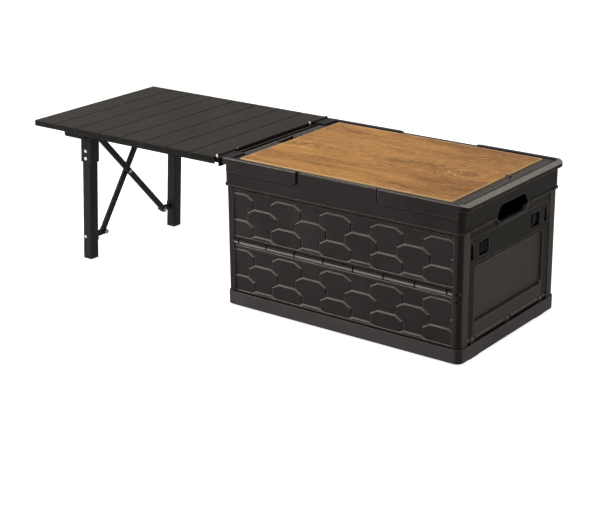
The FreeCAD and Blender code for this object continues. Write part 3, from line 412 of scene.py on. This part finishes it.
def powder_coat(name, dark, light, worn, edge, shine, smooth):
    """Coated metal: a fine orange-peel surface over a tone that drifts, with edges in the worn tone."""
    g = Finish(name)
    drift = g.noise(g.placed((1.0, 0.6, 1.0)), scale=6.0, detail=4.0)
    cloud = g.noise(g.here, scale=170.0, detail=4.0, rough=0.7)
    peel = g.noise(g.here, scale=700.0, detail=3.0, rough=0.6)
    rub = g.noise(g.here, scale=60.0, detail=5.0, rough=0.65)
    tone = g.stain(dark, light, drift, 0.3, 0.7)
    tone = g.stain(tone, light, cloud, 0.4, 0.65, amount=0.5)
    tone = g.stain(tone, light, peel, 0.4, 0.7, amount=0.3)
    normal = g.rounded(edge)
    tone = g.mix(g.product(g.rim(normal), g.spread(rub, 0.4, 0.7, 0.3, 1.0)), tone, worn)
    # Painted shade in narrow gaps and corners.
    tone = g.stain(tone, PAINTED_SHADE_TONE, g.open_air(), 0.75, 0.25, amount=0.7)
    rough = g.spread(drift, 0.2, 0.8, smooth, smooth + COAT_ROUGHER)
    return g.done(tone, rough, g.bump(peel, PEEL_DEEP, 0.7, normal), shine)


def bright_steel(name, shade=1.0):
    """Steel with fine turning marks and dull spots, bright or shaded down."""
    g = Finish(name)
    marks = g.noise(g.placed((1.0, 1.0, 12.0)), scale=800.0, detail=3.0)
    spots = g.noise(g.here, scale=120.0, detail=4.0)
    bright, dull = (colour(*(shade * value for value in tone)) for tone in (STEEL_BRIGHT, STEEL_DULL))
    tone = g.stain(bright, dull, spots, 0.35, 0.7)
    rough = g.spread(spots, 0.3, 0.7, *STEEL_ROUGH)
    normal = g.bump(marks, TURNING_DEEP, 0.5, g.rounded(STEEL_EDGE))
    return g.done(tone, rough, normal, metallic=1.0)


def sealed_wood(name):
    """A honey-brown board: wandering grain along X, pale flecks, dark pores, a soft knot and pale edges."""
    g = Finish(name)
    low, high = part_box("wood_board")
    knot = [(low[axis] + high[axis]) / 2 + KNOT[axis] for axis in (0, 1)]
    from_knot = g.placed((1 / KNOT_SIZE[0], 1 / KNOT_SIZE[1], 0.0),
                         (-knot[0] / KNOT_SIZE[0], -knot[1] / KNOT_SIZE[1], 0.0))
    away = g.measure("LENGTH", from_knot)
    near = g.spread(away, KNOT_REACH, 0.0)
    along, across, _ = g.split(g.here)
    sway = g.spread(g.noise(g.placed(SWAY_CYCLES)), 0.25, 0.75, -GRAIN_SWAY, GRAIN_SWAY)
    bow = g.product(g.math("SUBTRACT", across, knot[1]), near, -KNOT_BOW)
    lane = g.math("ADD", across, g.math("ADD", sway, bow))
    layers = {}
    for layer, (cycles, shift, detail, rough, bend) in GRAIN_LAYERS.items():
        place = g.placed(cycles, shift, g.join(along, lane))
        layers[layer] = g.noise(place, detail=detail, rough=rough, bend=bend)
    rings = g.math("MULTIPLY_ADD", away, KNOT_RINGS, g.product(layers["streak"], RING_WANDER))
    rings = g.product(near, g.spread(g.math("SINE", rings), -0.4, 1.0, 0.0, 0.55))
    tone = g.stain(WOOD_LIGHT, WOOD_MID, layers["broad"], 0.36, 0.64)
    tone = g.stain(tone, WOOD_DEEP, layers["streak"], 0.48, 0.70, amount=0.6)
    tone = g.mix(rings, tone, WOOD_DEEP)
    tone = g.stain(tone, WOOD_DEEP, away, 0.55, 0.1, amount=0.6)
    tone = g.stain(tone, WOOD_LIGHT, layers["fibre"], 0.40, 0.66, amount=0.45)
    tone = g.stain(tone, WOOD_DEEP, layers["pore"], 0.60, 0.72, amount=0.5)
    tone = g.stain(tone, WOOD_CREAM, layers["fleck"], 0.57, 0.67, amount=0.6)
    tone = g.mix(g.border(low, high, WOOD_EDGE, WOOD_EDGE_SOFT), tone, WOOD_CREAM)
    rough = g.spread(layers["fibre"], 0.3, 0.7, *WOOD_ROUGH)
    normal = g.bump(layers["fibre"], FIBRE_DEEP, 0.5, g.rounded(WOOD_ROUND))
    return g.done(tone, rough, g.bump(layers["pore"], PORE_DEEP, 0.4, normal), WOOD_SHINE)


def frame_marks(g, tone):
    """The top frame: olive end faces painted darker as shade, painted shadows at the ends of the finger dips,
    and a grainy painted highlight on the right lip.
    """
    low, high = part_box("lid_tray")
    along, across, up = g.split(g.here)
    # Painted shade on the olive end faces.
    tone = g.mix(g.end_faces(), tone, END_SHADE_TONE)
    out = g.apart(along, (low[0] + high[0]) / 2)
    # Painted shadow at each end of the finger dips.
    dip_end = g.band(out, DIP_HALF - DIP_SHADE, DIP_HALF, DIP_SOFT)
    dip_floor = high[2] - DIP_DEEP
    dip_tall = g.spread(up, dip_floor, dip_floor + DIP_RISE)
    on_rim = g.spread(g.math("ABSOLUTE", across), high[1], high[1] + DIP_OUTWARD)
    tone = g.mix(g.product(dip_end, dip_tall, on_rim), tone, PAINTED_SHADE_TONE)
    # Painted highlight, grainy, on the right lip's nearly level top.
    nearly_level = g.band(g.facing()[2], 0.88, 0.99, 0.02)
    above = g.spread(up, low[2], low[2] + LIP_RISE)
    right_end = g.spread(along, high[0] - LIP_INSIDE, high[0])
    grit = g.noise(g.here, scale=420.0, detail=3.0, rough=0.7)
    lip_highlight = g.stain(LIP_DARK, LIP_PALE, grit, 0.35, 0.65)
    return g.mix(g.product(nearly_level, above, right_end), tone, lip_highlight)


def lip_gap(g, tone):
    """Painted shade in the gap beside the lid, on the end lips of the top frame."""
    low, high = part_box("lid_tray")
    half = (high[0] - low[0]) / 2
    along, across, up = g.split(g.here)
    out = g.apart(along, (low[0] + high[0]) / 2)
    # Painted shade in the gap beside the lid.
    beside = g.band(out, half - LIP_INSIDE, half + LIP_GAP, LIP_GAP_SOFT)
    raised = g.spread(up, low[2], high[2])
    inward = g.spread(g.math("ABSOLUTE", across), high[1], high[1] - LIP_INSIDE)
    return g.mix(g.product(beside, raised, inward), tone, PAINTED_SHADE_TONE)


def end_panel(g, tone):
    """An end wall: olive end faces painted darker as shade, and its smooth sunk panel painted paler than the
    wall round it, a painted sheen.
    """
    low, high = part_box("right_end_wall")
    tall = high[2] - low[2]
    start = (-FAR, low[1] + PANEL_MARGIN, low[2] + PANEL_FOOT * tall)
    end = (FAR, high[1] - PANEL_MARGIN, low[2] + PANEL_SHARE * tall)
    # Painted shade on the end faces, then a painted sheen on the sunk panel.
    tone = g.mix(g.end_faces(), tone, END_SHADE_TONE)
    return g.mix(g.inside(start, end, PANEL_SOFT), tone, PAINTED_SHEEN_TONE)


def long_wall(g, tone):
    """A long wall: the flanks of its corner posts are painted paler, a painted sheen."""
    # Painted sheen on the flanks of the corner posts.
    return g.mix(g.end_faces(), tone, PAINTED_SHEEN_TONE)


def hinge_lines(g, tone):
    """Painted highlights on the ledges and along the middle hinge's barrel, painted shade along the barrel's
    top and in the slits between its knuckles, and dark holes painted in the posts.
    """
    low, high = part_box("front_wall_upper")
    middle = (low[0] + high[0]) / 2
    along, _, up = g.split(g.here)
    height = g.math("SUBTRACT", up, low[2])
    out = g.apart(along, middle)
    barrel = g.spread(out, BARREL_HALF + HINGE_SOFT, BARREL_HALF)
    # Painted highlight on the ledges that face up.
    tone = g.mix(g.product(barrel, g.spread(g.facing()[2], *AXIS_TURN)), tone, LEDGE_HIGHLIGHT_TONE)
    # Painted shade along the barrel's top.
    shade = g.band(height, *BARREL_SHADE, BARREL_SOFT)
    tone = g.mix(g.product(barrel, shade, SHADE_STRENGTH), tone, PAINTED_SHADE_TONE)
    # Painted highlight: the barrel's lit line.
    lit = g.band(height, *BARREL_LIT, BARREL_SOFT)
    tone = g.mix(g.product(barrel, lit, LIT_STRENGTH), tone, BARREL_HIGHLIGHT_TONE)
    # Painted shade in the slits between the knuckles.
    half_pitch = KNUCKLE_PITCH / 2
    from_slit = g.math("PINGPONG", g.math("SUBTRACT", along, middle - half_pitch), half_pitch)
    slit = g.spread(from_slit, 2 * SLIT_HALF, SLIT_HALF)
    tone = g.mix(g.product(barrel, slit, g.band(height, 0.0, BARREL_TALL, HINGE_SOFT)), tone, PAINTED_SHADE_TONE)
    aside = g.math("SUBTRACT", out, POST_HOLE_OUT)
    for hole_up in POST_HOLES_UP:
        away = g.measure("LENGTH", g.join(aside, g.math("SUBTRACT", height, hole_up)))
        tone = g.stain(tone, PAINTED_SHADE_TONE, away, POST_HOLE_SIZE, POST_HOLE_SIZE - HINGE_SOFT)
    return tone


def lid_border(g, tone):
    """The lid's border, blotched by handling, with a worn pale outer edge."""
    low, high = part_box("lid_tray")
    blot = g.noise(g.here, scale=110.0, detail=5.0, rough=0.7)
    tone = g.stain(tone, LIP_DARK, blot, 0.40, 0.66, amount=0.8)
    return g.mix(g.border(low, high, LID_EDGE, LID_EDGE_SOFT), tone, LIP_PALE)


def crate_plastic(name, painted_light=0, under=None, over=None):
    """The crate's dark plastic, painted paler by some steps of tone as painted light, with marks painted
    under or over its wear.
    """
    dark, light = (colour(*(value + painted_light for value in tone)) for tone in (CRATE_DARK, CRATE_LIGHT))
    return moulded_plastic(name, dark, light, colour(*CRATE_WEAR_AND_HIGHLIGHT), CRATE_EDGE, CRATE_SHINE,
                           slope_highlight=True, under=under, over=over)


def finishes():
    """Every material, by the record's slot."""
    return {
        "crate_plastic": crate_plastic("crate_plastic"),
        "wood": sealed_wood("wood"),
        "slat_metal": powder_coat("slat_metal", colour(37, 35, 31), colour(60, 56, 50),
                                  worn=colour(12, 11, 10), edge=0.0020, shine=0.03, smooth=0.56),
        "cap_plastic": moulded_plastic("cap_plastic", colour(24, 23, 21), colour(31, 29, 27),
                                       worn=colour(140, 134, 126), edge=0.0010, shine=0.06),
        "leg_metal": powder_coat("leg_metal", colour(36, 34, 33), colour(45, 43, 41),
                                 worn=colour(118, 112, 108), edge=0.0014, shine=0.06, smooth=0.42),
        "steel": bright_steel("steel"),
        "foot_plastic": moulded_plastic("foot_plastic", colour(22, 22, 21), colour(31, 30, 29),
                                        worn=colour(70, 67, 62), edge=0.0009, shine=0.12),
    }


def variants():
    """Materials of single nodes whose finish differs from the rest of their slot."""
    end_walls = crate_plastic("end_wall_plastic", under=end_panel)
    bolts = moulded_plastic("latch_plastic", colour(11, 10, 10), colour(16, 15, 14),
                            worn=colour(118, 112, 106), edge=0.0008, shine=0.03)
    special = {"top_frame": crate_plastic("frame_plastic", under=frame_marks, over=lip_gap),
               # The base is painted paler, as painted light.
               "base_tray": crate_plastic("base_plastic", BASE_PAINTED_LIGHT),
               "lid_tray": crate_plastic("lid_plastic", under=lid_border),
               "strut_pins": bright_steel("dull_steel", PIN_SHADE)}
    plates = powder_coat("plate_metal", colour(27, 26, 25), colour(36, 34, 33),
                         worn=colour(84, 80, 76), edge=0.0010, shine=0.04, smooth=0.5)
    long_walls = crate_plastic("wall_plastic", under=long_wall, over=hinge_lines)
    for side in ("front", "back"):
        special[side + "_wall_upper"] = long_walls
        special[side + "_wall_lower"] = long_walls
        special[side + "_hinge_bracket"] = plates
    for side in ("left", "right"):
        special[side + "_end_wall"] = end_walls
        special[side + "_front_latch"] = bolts
        special[side + "_back_latch"] = bolts
    return special


def dress(materials, special):
    """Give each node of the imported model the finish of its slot, or its own."""
    for part in frame["record"]["subparts"]:
        mesh = frame["nodes"][part["node"]].data
        mesh.materials.clear()
        mesh.materials.append(special.get(part["node"], materials[part["material_slot"]]))


def camera():
    """The camera that took the photograph."""
    data = bpy.data.cameras.new("photo_camera")
    data.sensor_width = SENSOR
    data.sensor_fit = "HORIZONTAL"
    data.lens = FOCAL_PIXELS / IMAGE_WIDE * SENSOR
    data.clip_end = CAMERA_REACH
    eye = bpy.data.objects.new("photo_camera", data)
    eye.location = CAMERA_PLACE
    turn = Matrix.Rotation(math.radians(CAMERA_TURN), 3, "Z")
    tilt = Matrix.Rotation(math.radians(90 - CAMERA_DOWN), 3, "X")
    roll = Matrix.Rotation(math.radians(CAMERA_ROLL), 3, "Z")
    eye.rotation_euler = (turn @ tilt @ roll).to_euler()
    bpy.context.scene.collection.objects.link(eye)
    bpy.context.scene.camera = eye


def seen_directly(g):
    """1 for rays that see the stage straight, in a mirror or through glass, and 0 for the light it gives."""
    path = g.add("ShaderNodeLightPath")
    seen = path.outputs["Is Camera Ray"]
    for kind in ("Is Glossy Ray", "Is Transmission Ray"):
        seen = g.math("MAXIMUM", seen, path.outputs[kind])
    return seen


def surround():
    """A surround that looks white all round, and lights the object less from its dark side."""
    world = bpy.data.worlds.new("studio")
    world.use_nodes = True
    g = Graph(world.node_tree)
    backdrop = g.tree.nodes["Background"]
    backdrop.inputs["Color"].default_value = (1.0, 1.0, 1.0, 1.0)
    direction = g.add("ShaderNodeTexCoord").outputs["Generated"]
    toward_dark = g.measure("DOT_PRODUCT", direction, Vector(DARK_SIDE).normalized())
    light = g.spread(toward_dark, *SKY_FALL, SKY_LIGHT, SKY_DARK)
    g.link(g.spread(seen_directly(g), 0.0, 1.0, light, 1.0), backdrop.inputs["Strength"])
    bpy.context.scene.world = world


def floor_paint():
    """Paint that looks white and keeps the object's shadow."""
    paint = bpy.data.materials.new("stage_white")
    paint.use_nodes = True
    g = Graph(paint.node_tree)
    g.tree.nodes.clear()
    matte = g.add("ShaderNodeBsdfDiffuse")
    matte.inputs["Color"].default_value = (*FLOOR_COLOUR, 1.0)
    glow = g.add("ShaderNodeEmission")
    g.link(g.product(seen_directly(g), FLOOR_GLOW), glow.inputs["Strength"])
    both = g.add("ShaderNodeAddShader")
    g.link(matte.outputs["BSDF"], both.inputs[0])
    g.link(glow.outputs["Emission"], both.inputs[1])
    g.show(both.outputs["Shader"])
    return paint


def lay_floor():
    """A wide square floor under the object."""
    mesh = bpy.data.meshes.new("floor")
    square = ((-1, -1), (1, -1), (1, 1), (-1, 1))
    corners = [(STAGE_HALF * along, STAGE_HALF * across, 0) for along, across in square]
    mesh.from_pydata(corners, [], [(0, 1, 2, 3)])
    mesh.materials.append(floor_paint())
    floor = bpy.data.objects.new("floor", mesh)
    floor.location.z = -FLOOR_DROP
    bpy.context.scene.collection.objects.link(floor)


def softbox(name, place, aim, size, power):
    """A square area light that faces a point."""
    data = bpy.data.lights.new(name, "AREA")
    data.size = size
    data.energy = power
    lamp = bpy.data.objects.new(name, data)
    lamp.location = place
    lamp.rotation_euler = (Vector(aim) - Vector(place)).to_track_quat("-Z", "Y").to_euler()
    bpy.context.scene.collection.objects.link(lamp)


bpy.context.scene.view_settings.view_transform = "Standard"
dress(finishes(), variants())
camera()
surround()
lay_floor()
for lamp in LAMPS:
    softbox(*lamp)

bpy.context.view_layer.update()
